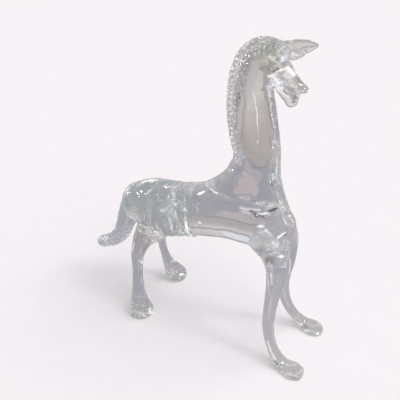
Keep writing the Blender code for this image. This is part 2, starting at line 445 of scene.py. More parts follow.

# The wrap on the rump. A second gather of glass is laid over the hind quarters and smeared
# forward: it ends in a raised lip round the barrel, and its skin is folded and creased. Each fold
# below is a line with its half width, depth and share of painted shade, with a painted highlight
# along its lip, and each painted highlight line after it its half width and strength.
WRAP_THICKNESS = 0.75
WRAP_LIP = 1.5
EDGE_ALONG = 54
EDGE_SWEEP = 12
EDGE_LEVEL = 128
EDGE_HEIGHT = 28
EDGE_WAVER = 1.2
EDGE_RIPPLE = ((9, 9, 9), 2.0)
EDGE_STEP = (-1.6, 0.4)
WRAP_LEVEL = (78, 100)
LEFT_SHARE = 0.3
WRAP_SIDE = (8, -4)
LIP_BACK = 1.8
SECOND_LIP_BACK = 7.5
LIP_HALF_WIDTH = 1.2
LIP_BEHIND = 70
LIP_EVEN, LIP_UNEVEN = 0.7, 0.6
LIP_RIPPLE = ((6, 6, 6), 3.1)
SECOND_LIP = 0.5 * WRAP_LIP
SECOND_LIP_EVEN = 0.5
SECOND_LIP_RIPPLE = ((5, 5, 5), 9.4)
BACK_LIP_SHARE = 0.35
BACK_HEIGHTS = (150, 140)
FOLDED_FROM = (-24, 2)
LONG_FOLD_DEPTH = 0.75
LONG_FOLD_RIPPLE = ((5.5, 11, 12), 0.0)
SHORT_FOLD_DEPTH = 0.45
SHORT_FOLD_RIPPLE = ((3.6, 7, 4.5), 7.0)
WRAP_FOLDS = (
    (1.0, 0.55, 0.15, [(24.3, -3, 151.8), (30, -13, 149), (34.1, -18.7, 144)]),
    (1.0, 0.5, 0.15, [(14.3, -17, 144.4), (19.5, -21.5, 139)]),
    (1.1, 0.6, 0.17, [(20.7, -23.6, 135.9), (29.1, -21.9, 139.7)]),
    (1.1, 0.6, 0.18, [(21.4, -24.9, 132.2), (25.7, -24.2, 133.1), (32.1, -23, 136.7),
                      (34.7, -19.7, 142.4)]),
    (0.9, 0.5, 0.15, [(37.4, -20.4, 141.4), (43.3, -18.8, 144.5)]),
    (1.1, 0.6, 0.18, [(39.2, -23.3, 136.7), (41.9, -24.6, 126.9)]),
    (1.1, 0.6, 0.17, [(32.8, -24.8, 126.5), (34.2, -23.7, 119.4), (33.2, -22.6, 111.3)]),
    (1.1, 0.6, 0.17, [(16.8, -26.4, 117.7), (21.4, -26.4, 112), (23.4, -23.1, 101.1)]),
    (1.0, 0.5, 0.18, [(49, -24.8, 131.5), (53.4, -21.3, 117.3)]),
    (1.0, 0.5, 0.18, [(40.9, -20.1, 110.1), (50.5, -20.4, 113.4)]),
)
FOLD_LIP_OFFSET = np.array([0.9, 0.0, 0.9])
FOLD_LIP_HALF_WIDTH = 0.8
FOLD_LIP_PAINTED_HIGHLIGHT = 3.8  # times the fold's own mark
RUMP_PAINTED_HIGHLIGHTS = (
    (1.5, 1.1, [(-11.2, -5.3, 145.8), (-4.3, -4, 149.3), (3.8, -1.4, 150.3)]),
    (1.0, 0.6, [(-16.8, -8.5, 141.2), (-12.2, -7.5, 144.3)]),
    (0.9, 0.7, [(2.5, -17.7, 141.5), (6.7, -12.8, 147.1)]),
    (0.9, 0.4, [(-32.5, -13.9, 125.2), (-26.2, -14.2, 131.9)]),
    (0.8, 0.5, [(24.1, -6.4, 151), (31.3, -6.7, 153)]),
    (1.1, 0.8, [(23.4, -24.3, 132.5), (28, -24.1, 133.7)]),
    (1.0, 0.7, [(39.4, -23.9, 134.8), (41.9, -24.3, 131.3)]),
    (0.8, 0.5, [(19.2, -26.4, 116.1), (24, -20.5, 99.8)]),
    (0.9, 0.6, [(-9.5, -32.5, 77.8), (-6.3, -32, 88.8)]),
    (1.0, 0.8, [(66.2, -23.4, 131.6), (67.6, -23.4, 132)]),
    (0.9, 0.5, [(-81.9, -2.9, 53.6), (-76, -4, 54.5)]),
    (0.9, 0.5, [(-70.5, -5, 57), (-68.6, -2.9, 61)]),
)
edge = EDGE_ALONG - EDGE_SWEEP * np.clip((up - EDGE_LEVEL) / EDGE_HEIGHT, 0, None) ** 2
edge += EDGE_WAVER * ripple(*EDGE_RIPPLE)
high = fade(*WRAP_LEVEL, up) * (LEFT_SHARE + (1 - LEFT_SHARE) * fade(*WRAP_SIDE, across))
wrap = (1 - fade(edge + EDGE_STEP[0], edge + EDGE_STEP[1], along)) * high
push += WRAP_THICKNESS * wrap
lip = np.exp(-(((along - edge + LIP_BACK) / LIP_HALF_WIDTH) ** 2)) * high * (along < LIP_BEHIND)
lip *= LIP_EVEN + LIP_UNEVEN * ripple(*LIP_RIPPLE)
push += WRAP_LIP * lip * (BACK_LIP_SHARE + (1 - BACK_LIP_SHARE) * fade(*BACK_HEIGHTS, up))
second_lip = np.exp(-(((along - edge + SECOND_LIP_BACK) / LIP_HALF_WIDTH) ** 2))
second_lip *= high * (along < LIP_BEHIND)
push += SECOND_LIP * second_lip * (SECOND_LIP_EVEN + ripple(*SECOND_LIP_RIPPLE))
folds = fade(*FOLDED_FROM, along) * wrap
push += LONG_FOLD_DEPTH * folds * ripple(*LONG_FOLD_RIPPLE)
push += SHORT_FOLD_DEPTH * folds * ripple(*SHORT_FOLD_RIPPLE)
for width, depth, show, points in WRAP_FOLDS:
    groove(points, width, depth, show)
    painted_lip_line = [tuple(np.array(spot) + FOLD_LIP_OFFSET) for spot in points]
    paint_highlight(painted_lip_line, FOLD_LIP_HALF_WIDTH, FOLD_LIP_PAINTED_HIGHLIGHT * show)
for width, strength, points in RUMP_PAINTED_HIGHLIGHTS:
    paint_highlight(points, width, strength)

# The breast. Where the shoulders were pinched in, the tool left two slashes beside the neck, a
# crease along the shoulder, and a pointed fold over the breast bone, with wrinkled glass round it.
# Its creases carry painted shade, and the second table gives thin lines of painted highlight.
BREAST_CREASES = (
    (1.3, 1.6, 1.0, [(116, -21.5, 158), (127, -19.5, 155.5), (133, -16, 160), (138.5, -11, 162)]),
    (1.2, 1.4, 1.0, [(122, -20.5, 154), (126, -19.5, 158), (131, -17.5, 157)]),
    (0.9, 0.5, 0.5, [(131.4, -20.2, 141.6), (136.6, -20.8, 138.3), (142, -19.6, 133)]),
    (0.9, 0.5, 0.5, [(143.2, -18.6, 136.5), (147, -12, 138.6)]),
    (1.3, 1.2, 0.17, [(141, -7, 163), (145, -9, 150), (149, -9, 140)]),
    (0.9, 0.8, 0.28, [(121.7, -19.6, 157.4), (125.2, -18.6, 154.5), (130.8, -18.2, 152.6)]),
    (1.0, 0.9, 0.28, [(133.2, -14.8, 159.6), (137.5, -12, 163)]),
)
BREAST_PAINTED_HIGHLIGHTS = (
    (1.4, 0.55, [(106.5, -20, 157.5), (114, -20, 158.5), (123.5, -19, 160)]),
    (1.0, 0.45, [(108.7, -20, 155), (116.3, -20, 155.2)]),
    (1.3, 1.0, [(125.2, -18.6, 156.4), (131.8, -16.9, 157.5)]),
    (0.9, 1.4, [(132, -20.1, 142.9), (136.6, -20.6, 140), (142, -19.2, 134.8),
                (143.2, -18.4, 138.5), (146.2, -12.2, 140.4)]),
    (0.8, 0.6, [(139.7, -22.4, 133.8), (143.4, -21.7, 130.4), (144.3, -20.1, 133.9)]),
    (1.2, 1.4, [(147.6, -22, 121.6), (149.5, -21, 121.4)]),
    (1.1, 1.0, [(125, -20.8, 144.7), (128.4, -20, 145.4)]),
    (0.8, 0.7, [(142.9, -7.7, 157.5), (143.7, -8.4, 152), (146, -8.5, 146.6)]),
    (0.8, 0.45, [(147.3, -3, 150.2), (150, 1.3, 144.6)]),
    (0.9, 0.3, [(125.7, -17.5, 167.5), (131.9, -14.8, 167.9), (135, -11.2, 171.1)]),
    (0.9, 0.5, [(130.9, -16.2, 164.4), (136.5, -12.3, 166), (139, -8.5, 166.9)]),
    (0.8, 0.5, [(133, -10.5, 177), (134.5, -11.3, 171), (136, -12.3, 166)]),
    (0.7, 0.5, [(130.8, -4.5, 205), (131.5, -4.5, 197), (131.8, -4.5, 191)]),
)
BREAST_SPREAD = (142, 137, 9, 10)
BREAST_FROM = (120, 132)
BREAST_WRINKLE = 0.5
BREAST_RIPPLE = ((4, 5, 4), 1.7)
for width, depth, show, points in BREAST_CREASES:
    groove(points, width, depth, show)
for width, strength, points in BREAST_PAINTED_HIGHLIGHTS:
    paint_highlight(points, width, strength)


def round_about(middle_along, middle_up, half_length, half_height):
    """1 at a place on the horse's side view, falling off to 0 round it."""
    length_off, height_off = (along - middle_along) / half_length, (up - middle_up) / half_height
    return np.exp(-(length_off**2 + height_off**2))


breast = round_about(*BREAST_SPREAD) * fade(*BREAST_FROM, along)
push += BREAST_WRINKLE * breast * ripple(*BREAST_RIPPLE)

# The poll and the face. The root of the ears is wrinkled where it was folded over, and the face
# is no more than a pinch for each eye, a dent for each nostril and the line of the lips. Its creases
# carry painted shade, and the second table gives thin lines of painted highlight. Both sides of the
# face are alike, so its lines are given for the left side and mirrored.
FACE_CREASES = (
    (1.1, 1.6, 0.75, [(123.2, 9.2, 276.6), (126.6, 8.2, 278.8)]),
    (0.9, 0.7, 0.2, [(138.5, 7, 261.3), (147, 5, 263.0)]),
    (0.9, 0.8, 0.2, [(144.2, 5.2, 267.2), (145.4, 5.0, 266.8)]),
)
FACE_PAINTED_HIGHLIGHTS = (
    (0.9, 0.7, [(119.5, 9.2, 272.3), (122.2, 9.8, 273.6)]),
    (0.8, 0.4, [(124.4, 9, 271.4), (127.6, 8.2, 268.6)]),
    (0.8, 0.5, [(117.8, 7.4, 264), (120.1, 4.9, 263.7)]),
    (0.8, 0.5, [(118.9, 5.5, 260.5), (120.4, 4, 255.5)]),
    (0.7, 0.3, [(125.6, 8.6, 292.1), (130.2, 9.3, 295.5)]),
    (0.8, 0.5, [(129.5, 9.5, 286.9), (132.9, 10.8, 289)]),
    (0.8, 0.5, [(122.2, 10.3, 284.8), (126.3, 8.4, 283.4), (131.1, 9.1, 285.6)]),
    (0.8, 0.4, [(118.9, 10.5, 287.4), (123.4, 9.8, 286.3)]),
    (1.8, 1.3, [(133.2, 4.7, 279.1), (137, 3.2, 275.4)]),
    (0.9, 0.9, [(143.3, 3.4, 268.1), (144.4, 2.4, 267.9)]),
    (0.8, 0.35, [(125.7, 6.5, 263.3), (132.6, 6.6, 259.7), (137.3, 5.9, 258.6)]),
    (0.8, 0.35, [(123, 6.4, 266.5), (130.7, 8.2, 269), (141.4, 6, 265.4)]),
)
POLL_SPREAD = (124, 292, 9, 6)
POLL_WRINKLE = 1.1
POLL_RIPPLE = ((3.2, 5, 5), 5.0)
THROAT_SPREAD = (121, 262, 6, 8)
THROAT_WRINKLE = 1.0
THROAT_RIPPLE = ((3.5, 5, 3.5), 11.0)
push += POLL_WRINKLE * round_about(*POLL_SPREAD) * ripple(*POLL_RIPPLE)
for side in (-1, 1):
    for width, depth, show, points in FACE_CREASES:
        groove([(x, side * y, z) for x, y, z in points], width, depth, show)
    for width, strength, points in FACE_PAINTED_HIGHLIGHTS:
        paint_highlight([(x, side * y, z) for x, y, z in points], width, strength)
push += THROAT_WRINKLE * round_about(*THROAT_SPREAD) * ripple(*THROAT_RIPPLE)

# The shanks and feet. They are pulled and pressed but not worked further, so all they have is
# painted highlight lines, running down the pulled glass and round the rims of the pressed pads.
LEG_PAINTED_HIGHLIGHTS = (
    (1.0, 0.35, [(173.8, -39.5, 4.2), (179.4, -37.6, 3.4), (183.7, -29, 3.8)]),
    (0.9, 0.25, [(165, -33.5, 8), (172, -31, 6.2), (177, -25, 5)]),
    (1.0, 0.2, [(165.9, 28.4, 8.8), (174.6, 29.4, 6.5), (180.6, 39, 4.2)]),
    (1.2, 0.35, [(-1.4, -47.6, 9.4), (7.7, -45.7, 6.3), (11.7, -36.3, 6.4)]),
    (1.2, 0.25, [(-0.4, -40.1, 24.2), (3.9, -31.6, 19.5)]),
    (1.0, 0.2, [(-1.7, 25.5, 17.5), (5.4, 27.5, 12.9), (10.1, 38.3, 10.4)]),
    (1.2, 0.12, [(140.1, -24.6, 93.2), (144.4, -26.2, 72.5), (144.9, -28.4, 52.2)]),
    (0.8, 0.5, [(141.6, -25, 102.2), (142.8, -25.1, 95.8), (143.6, -25.2, 90.5)]),
    (0.8, 0.7, [(147.7, -32.3, 26.9), (151.8, -33.6, 18.2), (157.6, -35.1, 11.3)]),
    (0.8, 0.5, [(148.2, 8.5, 98.4), (148.1, 10.8, 88.4), (147.3, 13.9, 77.5)]),
    (0.8, 0.2, [(148.1, -26.6, 47.1), (150.5, -27.2, 33.2), (154, -28.6, 22.8)]),
    (0.8, 0.2, [(142.9, 15.8, 55.1), (145, 19.2, 40.1), (149.4, 22.5, 27.1)]),
)
for width, strength, points in LEG_PAINTED_HIGHLIGHTS:
    paint_highlight(points, width, strength)

# The fire polish. A flame gives the worked skin its gloss at the end. The finished skin is set in
# place, held inside the solid's own box so that the soles stay flat, and stands for that solid.
point += outward * push[:, None] * MM
point = np.clip(point, np.array(cad_box[0]), np.array(cad_box[1]))
skin.vertices.foreach_set("co", point.astype(np.float32).ravel())
for name, values in (("painted_crease_shade_and_light", crease_shade_paint), ("painted_glint", painted_glint)):
    skin.attributes.new(name, "FLOAT", "POINT").data.foreach_set("value", values.astype(np.float32))
skin.update()
skin.shade_smooth()
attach(horse, "root")
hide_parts("glass_horse")

# The glass. Clear soda glass, grey from its thickness, a breath greener where the wrap doubles it,
# warmer up the neck, paler where it thins to the ears and mane and paler on the underside. Painted
# light makes the breast and the feet paler, and a pink patch at the neck's base is a painted
# refraction of the card below; painted shade darkens the top of the shoulders and a band behind the
# neck's clear oval. Creases carry painted shade, with a painted clear core where they are deepest,
# and thin white lines are painted highlights, a faint glow laid on the skin.
INDEX_OF_GLASS = 1.5
COOL_GLASS = (0.87, 0.865, 0.90, 1)
WRAP_GLASS = (0.80, 0.86, 0.83, 1)
WARM_GLASS = (0.92, 0.90, 0.885, 1)
POLL_GLASS = (0.62, 0.655, 0.58, 1)
NAPE_PAINTED_SHADE = (0.66, 0.65, 0.665, 1)
PAINTED_REFRACTION_GLASS = (1.0, 0.945, 0.935, 1)
THIN_GLASS_AND_PAINTED_LIGHT = (0.97, 0.96, 0.955, 1)
FOOT_PAINTED_LIGHT = (0.97, 0.965, 0.94, 1)
VEIN_GLASS = (0.62, 0.69, 0.66, 1)
PAINTED_CREASE_SHADE = (0.06, 0.062, 0.07, 1)
JAW_GLASS = (0.88, 0.85, 0.84, 1)
THIGH_GLASS = (0.83, 0.80, 0.775, 1)
SHOULDER_PAINTED_SHADE = (0.81, 0.80, 0.84, 1)
CLEAR_GLASS = (1.0, 1.0, 1.0, 1)
NO_GLOW = (0, 0, 0, 1)
# Places on the horse with soft edges: the middle and the reach, along, across and up, and how far
# out, counted in reaches, the place begins and is full.
RUMP = ((8, 0, 128), (52, 60, 45), (1.15, 0.85))
SHOULDER = ((100, 0, 168), (30, 60, 34), (1.3, 0.8))
BREAST = ((140, 0, 132), (16, 50, 28), (1.2, 0.8))
UNDERSIDE = ((88, -8, 117), (35, 50, 16), (1.2, 0.7))
THIGH = ((8, -26, 98), (28, 30, 26), (1.3, 0.7))
POLL = ((122, 0, 288), (16, 30, 12), (1.2, 0.7))
FACE = ((140, 0, 272), (21, 30, 30), (1.1, 0.8))
CHIN = ((132, 0, 256.5), (9, 20, 9), (1.2, 0.8))
CHEEK = ((126, -9, 272), (13, 12, 10), (1.3, 0.5))
THROAT = ((122, 0, 266), (12, 30, 11), (1.3, 0.6))
NECK_FOLD = ((140, -5, 169), (8, 20, 20), (1.3, 0.7))
TAIL_TIP = ((-74, 0, 50), (20, 30, 16), (1.1, 0.7))
TAIL_SKIN = ((-50, 0, 75), (45, 30, 45), (1.1, 0.9))
# The painted refraction of the card is a patch with a ragged edge, and the clear lens of the neck an
# upright oval, with a band of painted shade behind it.
REFRACTION_MIDDLE, REFRACTION_REACH = (109, -17, 179), (12, 20, 15)
REFRACTION_RAGGED = 0.9
REFRACTION_EDGE = (1.45, 1.38)
LENS_MIDDLE, LENS_REACH = (112, 0, 236), (23.5, 50, 70)
NAPE_INSIDE = (0.57, 0.72)
NAPE_OUTSIDE = (0.98, 0.9)
CREST_OUTSIDE = (0.94, 1.0)
# Heights and lengths over which a tint comes in, in millimetres on the frame's axes.
NECK_HEIGHTS = (188, 215)
CREST_HEIGHTS = (190, 200)
FOOT_HEIGHTS = (24, 6)
NAPE_AHEAD = (62, 54)
SEAM_HEIGHTS = (148, 138)
FOLDED_HEIGHTS = (96, 112)
# The grain of the glass, as noise scales, and the bands of it that show.
STREAK_SCALE, SPECK_SCALE, CREASE_SCALE, SWELL_SCALE = 55.0, 420.0, 150.0, 70.0
CREASE_TWIST = 1.6
VEIN_BAND = (0.5, 0.62)
RIDGE_BAND = (0.0012, 0.0)
VEIN_SHARE = 0.8
FOOT_VEIN_SHARE = 0.35
FOLD_TINT_SHARE = 0.7
CREST_TINT_SHARE = 0.6
# The seam of the wrap's edge, a clear line with a painted highlight glowing along its lower part: its
# squared distance in metres, and its side.
SEAM_BACK = 1.5
SEAM_WIDTH = (0.0000030, 0.0000008)
SEAM_SIDE = (-10, -16)
# How strongly a crease's painted shade has to show to turn dark, to stop being dark, and to turn to a
# painted clear core.
MARK_DARK, MARK_NOT_DARK, MARK_CLEAR = (0.1, 0.3), (0.65, 0.4), (0.5, 0.75)
# The painted highlights, a glow laid on the skin: each kind's strength and the bands of marks, streaks and
# creases that carry it.
PAINTED_LINE_GLOW = 0.65
MARK_GLOW, MARK_GLOW_BAND, MARK_STREAKS = 0.5, (0.55, 0.9), (0.35, 0.55)
SEAM_GLOW, SEAM_CREASES = 0.4, (0.42, 0.52)
RIDGE_GLOW, RIDGE_STREAKS = 0.3, (0.47, 0.62)
RUMP_RIDGES, POLL_RIDGES, BREAST_RIDGES, FOOT_RIDGES = 0.7, 0.3, 0.4, 0.5
CHEEK_GLOW, CHEEK_BAND = 0.05, (0.5, 0.68)
# The cheek's painted highlight streaks are longer down the face, the way its glass was pulled.
DOWN_THE_FACE, ACROSS_THE_FACE = (0.8, 0.0, -0.6), (0.6, 0.0, 0.8)
CHEEK_SCALES = (70.0, 330.0, 100.0)
CHEEK_TWIST = 0.5
# The polish, the swell that the flame left, and how much the creases stand up in each place.
POLISH, BREATH, BREATH_BAND = 0.012, 0.03, (0.3, 0.7)
SWELL_DISTANCE = 0.0012
SWELL_HEIGHT, SPECK_HEIGHT, CREASE_HEIGHT = 0.35, 0.008, 0.5
RUMP_WORK, BREAST_WORK, FACE_WORK, TAIL_WORK, CREST_WORK = 0.6, 0.5, 0.15, 0.4, 0.35


class Field:
    """A socket of a node tree that can be used in sums, with the nodes those sums need."""

    def __init__(self, tree, socket=None):
        self.tree = tree
        self.socket = socket

    def node(self, kind, settings=None, inputs=None, output=0):
        made = self.tree.nodes.new(kind)
        for name, value in (settings or {}).items():
            setattr(made, name, value)
        for name, value in (inputs or {}).items():
            self.join(value, made.inputs[name])
        return Field(self.tree, made.outputs[output])

    def join(self, value, socket):
        if isinstance(value, Field):
            self.tree.links.new(value.socket, socket)
        else:
            socket.default_value = value

    def maths(self, operation, first, second):
        return self.node("ShaderNodeMath", {"operation": operation}, {0: first, 1: second})

    def __add__(self, other):
        return self.maths("ADD", self, other)

    def __radd__(self, other):
        return self.maths("ADD", other, self)

    def __sub__(self, other):
        return self.maths("SUBTRACT", self, other)

    def __rsub__(self, other):
        return self.maths("SUBTRACT", other, self)

    def __mul__(self, other):
        return self.maths("MULTIPLY", self, other)

    def __rmul__(self, other):
        return self.maths("MULTIPLY", other, self)

    def __truediv__(self, other):
        return self.maths("DIVIDE", self, other)

    def __rtruediv__(self, other):
        return self.maths("DIVIDE", other, self)

    def fade(self, low, high):
        """0 at low, 1 at high, smooth between; low may be the greater."""
        settings = {"interpolation_type": "SMOOTHSTEP"}
        return self.node("ShaderNodeMapRange", settings, {"Value": self, "From Min": low, "From Max": high})

    def greatest(self, other):
        return self.maths("MAXIMUM", self, other)

    def flat(self, colour):
        """One colour all over, for others to be mixed into."""
        made = self.node("ShaderNodeRGB")
        made.socket.default_value = colour
        return made

    def mixed(self, other, share):
        """This colour turning into the other by the share."""
        inputs = {"Factor": share, 6: self, 7: other}
        return self.node("ShaderNodeMix", {"data_type": "RGBA"}, inputs, 2)

    def shifted(self, operation, vector):
        return self.node("ShaderNodeVectorMath", {"operation": operation}, {0: self, 1: vector})

    def along_axis(self, axis):
        """How far this place lies along the axis."""
        inputs = {0: self, 1: tuple(axis)}
        return self.node("ShaderNodeVectorMath", {"operation": "DOT_PRODUCT"}, inputs, 1)

    def away_from(self, middle, reach):
        """Distance from a middle on the horse, each axis counted in its own reach, in millimetres."""
        scaled = self.shifted("SUBTRACT", at(*middle)).shifted("DIVIDE", [side * MM for side in reach])
        return self.node("ShaderNodeVectorMath", {"operation": "LENGTH"}, {0: scaled}, 1)

    def patch(self, middle, reach, edge):
        """1 in a place on the horse, 0 outside it, with the soft edge given."""
        return self.away_from(middle, reach).fade(*edge)

    def beyond(self, low, high):
        """1 where this length is past the high end of the band, in millimetres."""
        return self.fade(low * MM, high * MM)

    def parts(self):
        split = self.node("ShaderNodeSeparateXYZ", None, {0: self})
        return [Field(self.tree, split.socket.node.outputs[axis]) for axis in range(3)]


def new_glass(name, index):
    """See-through glass of the given refractive index, and its shader."""
    glass = bpy.data.materials.new(name)
    glass.use_nodes = True
    shader = glass.node_tree.nodes["Principled BSDF"]
    shader.inputs["IOR"].default_value = index
    shader.inputs["Transmission Weight"].default_value = 1.0
    return glass, shader


def at(along, across, up):
    """A place on the horse, drawn in millimetres, in metres on the frame's axes."""
    return ((along - MIDDLE) * MM, across * MM, up * MM)


clear_glass, shader = new_glass("clear_glass", INDEX_OF_GLASS)
field = Field(clear_glass.node_tree)
place = field.node("ShaderNodeTexCoord", output="Object")
forward, sideways, height = place.parts()
streaks = place.node("ShaderNodeTexNoise", None, {"Vector": place, "Scale": STREAK_SCALE, "Detail": 3.0})
specks = place.node("ShaderNodeTexNoise", None, {"Vector": place, "Scale": SPECK_SCALE, "Detail": 2.0})
swell = place.node("ShaderNodeTexNoise", None, {"Vector": place, "Scale": SWELL_SCALE, "Detail": 1.0})
crease_inputs = {"Vector": place, "Scale": CREASE_SCALE, "Detail": 2.0, "Distortion": CREASE_TWIST}
creases = place.node("ShaderNodeTexNoise", None, crease_inputs)
ridge = ((creases - 0.5) * (creases - 0.5)).fade(*RIDGE_BAND)

rump = place.patch(*RUMP)
breast = place.patch(*BREAST)
thigh = place.patch(*THIGH)
neck = height.beyond(*NECK_HEIGHTS)
poll = place.patch(*POLL)
face = place.patch(*FACE)
foot = height.beyond(*FOOT_HEIGHTS)
from_lens = place.away_from(LENS_MIDDLE, LENS_REACH)
nape = from_lens.fade(*NAPE_INSIDE) * from_lens.fade(*NAPE_OUTSIDE) * forward.beyond(*NAPE_AHEAD) * neck
crest = from_lens.fade(*CREST_OUTSIDE) * height.beyond(*CREST_HEIGHTS)
painted_refraction = (place.away_from(REFRACTION_MIDDLE, REFRACTION_REACH) + streaks * REFRACTION_RAGGED).fade(*REFRACTION_EDGE)
edge_lift = (height - EDGE_LEVEL * MM).greatest(0.0) / (EDGE_HEIGHT * MM)
seam = forward + edge_lift * edge_lift * (EDGE_SWEEP * MM) - (EDGE_ALONG - MIDDLE - SEAM_BACK) * MM
seam_line = (seam * seam).fade(*SEAM_WIDTH) * sideways.beyond(*SEAM_SIDE)
painted_crease_shade_and_light = field.node("ShaderNodeAttribute", {"attribute_name": "painted_crease_shade_and_light"}, output=2)
painted_light_pattern = field.node("ShaderNodeAttribute", {"attribute_name": "painted_glint"}, output=2)

# Tints over the base: the glass's own greens, warms and veins, with painted light on the breast and feet,
# painted shade over the shoulders and behind the neck's oval, a painted refraction patch, and painted shade
# and light in the creases.
colour = field.flat(COOL_GLASS)
for tint, share in (
    (WRAP_GLASS, rump),
    (SHOULDER_PAINTED_SHADE, place.patch(*SHOULDER)),
    (THIN_GLASS_AND_PAINTED_LIGHT, breast),
    (THIN_GLASS_AND_PAINTED_LIGHT, place.patch(*UNDERSIDE)),
    (THIGH_GLASS, thigh),
    (WARM_GLASS, neck),
    (POLL_GLASS, poll),
    (PAINTED_REFRACTION_GLASS, painted_refraction),
    (THIN_GLASS_AND_PAINTED_LIGHT, face),
    (JAW_GLASS, place.patch(*CHIN)),
    (WRAP_GLASS, place.patch(*NECK_FOLD) * FOLD_TINT_SHARE),
    (NAPE_PAINTED_SHADE, nape),
    (THIN_GLASS_AND_PAINTED_LIGHT, crest * (1 - face) * CREST_TINT_SHARE),
    (FOOT_PAINTED_LIGHT, foot),
    (POLL_GLASS, foot * streaks.fade(*VEIN_BAND) * FOOT_VEIN_SHARE),
    (VEIN_GLASS, streaks.fade(*VEIN_BAND) * rump * (1 - thigh) * VEIN_SHARE),
    (CLEAR_GLASS, ridge * rump * (1 - thigh) * VEIN_SHARE),
    (CLEAR_GLASS, seam_line),
    (PAINTED_CREASE_SHADE, painted_crease_shade_and_light.fade(*MARK_DARK) * painted_crease_shade_and_light.fade(*MARK_NOT_DARK)),
    (CLEAR_GLASS, painted_crease_shade_and_light.fade(*MARK_CLEAR)),
):
    colour = colour.mixed(tint, share)
field.join(colour, shader.inputs["Base Color"])

ridge_glint_share = rump * height.beyond(*FOLDED_HEIGHTS) * RUMP_RIDGES + poll * POLL_RIDGES
ridge_glint_share = ridge_glint_share + place.patch(*TAIL_TIP) + breast * BREAST_RIDGES + foot * FOOT_RIDGES
pull_down = place.along_axis(DOWN_THE_FACE) * CHEEK_SCALES[0]
pull_across = place.along_axis(ACROSS_THE_FACE) * CHEEK_SCALES[1]
pull_inputs = {"X": pull_down, "Y": pull_across, "Z": sideways * CHEEK_SCALES[2]}
pulled_place = field.node("ShaderNodeCombineXYZ", None, pull_inputs)
pulled_inputs = {"Vector": pulled_place, "Scale": 1.0, "Detail": 2.0, "Distortion": CHEEK_TWIST}
cheek_glint_streaks = field.node("ShaderNodeTexNoise", None, pulled_inputs)
painted_highlights = painted_light_pattern * PAINTED_LINE_GLOW
painted_highlights = painted_highlights + painted_crease_shade_and_light.fade(*MARK_GLOW_BAND) * streaks.fade(*MARK_STREAKS) * MARK_GLOW
painted_highlights = painted_highlights + seam_line * creases.fade(*SEAM_CREASES) * height.beyond(*SEAM_HEIGHTS) * SEAM_GLOW
painted_highlights = painted_highlights + ridge * streaks.fade(*RIDGE_STREAKS) * ridge_glint_share * RIDGE_GLOW
painted_highlights = painted_highlights + cheek_glint_streaks.fade(*CHEEK_BAND) * place.patch(*CHEEK) * CHEEK_GLOW
field.join(field.flat(NO_GLOW).mixed(CLEAR_GLASS, painted_highlights), shader.inputs["Emission Color"])
shader.inputs["Emission Strength"].default_value = 1.0

field.join(streaks.fade(*BREATH_BAND) * BREATH + POLISH, shader.inputs["Roughness"])
worked = (rump * RUMP_WORK).greatest(poll).greatest(place.patch(*THROAT)).greatest(breast * BREAST_WORK)
worked = worked.greatest(face * FACE_WORK).greatest(place.patch(*TAIL_SKIN) * TAIL_WORK)
worked = worked.greatest(crest * (1 - face) * CREST_WORK)
skin_height = swell * SWELL_HEIGHT + specks * SPECK_HEIGHT + creases * worked * CREASE_HEIGHT
bump_inputs = {"Strength": 1.0, "Distance": SWELL_DISTANCE, "Height": skin_height}
field.join(field.node("ShaderNodeBump", None, bump_inputs), shader.inputs["Normal"])
skin.materials.clear()
skin.materials.append(clear_glass)

# The bubbles. A few specks of air were trapped when the glass was gathered, and show where it is
# thin: in the left ear and near the end of the tail. Each is its place and its radius.
BUBBLES = (
    (141.6, 10.9, 293.3, 1.0),
    (140.2, 10.7, 289.9, 1.1),
    (-79, 0, 50, 0.9),
    (-72, -3, 54, 0.7),
    (-66, 2, 56, 0.8),
)
BUBBLE_ROUNDS = 3
FILM_SCALE = 900.0
FILM_ROUGHNESS = 0.04
air = bmesh.new()
for along_mm, across_mm, up_mm, radius in BUBBLES:
    spot = Matrix.Translation(at(along_mm, across_mm, up_mm))
    bmesh.ops.create_icosphere(air, subdivisions=BUBBLE_ROUNDS, radius=radius * MM, matrix=spot)
bubble_mesh = bpy.data.meshes.new("bubbles")
air.to_mesh(bubble_mesh)
air.free()
bubble_mesh.shade_smooth()
trapped_air, shader = new_glass("trapped_air", 1 / INDEX_OF_GLASS)
field = Field(trapped_air.node_tree)
place = field.node("ShaderNodeTexCoord", output="Object")
film = place.node("ShaderNodeTexNoise", None, {"Vector": place, "Scale": FILM_SCALE})
shader.inputs["Base Color"].default_value = CLEAR_GLASS
field.join(film * FILM_ROUGHNESS, shader.inputs["Roughness"])
bubble_mesh.materials.append(trapped_air)
bubbles = bpy.data.objects.new("bubbles", bubble_mesh)
bpy.context.scene.collection.objects.link(bubbles)
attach(bubbles, "root")

# The table. A sheet of opal acrylic, faintly lit from below, that runs on past the view. Rays
# that come out of the glass don't see it: they see a second sheet just under it, whose broad
# plain tones are what glass shows of the place it stands in.
SHEET_AZIMUTH = math.radians(29.9)  # the side of the horse that the tones are laid out from
ahead = Vector((-math.sin(SHEET_AZIMUTH), math.cos(SHEET_AZIMUTH), 0))
beside = Vector((math.cos(SHEET_AZIMUTH), math.sin(SHEET_AZIMUTH), 0))
SHEET_REACH = 14.0
SHEET_DROP = 0.0003
MATT = 0.95
BLACK = (0, 0, 0, 1)
ACRYLIC = (0.54, 0.514, 0.529, 1)
ACRYLIC_GRAIN = (0.53, 0.504, 0.519, 1)
ACRYLIC_GLOW = (0.240, 0.229, 0.234, 1)
GRAIN_SCALE, GRAIN_BAND = 900.0, (0.35, 0.65)
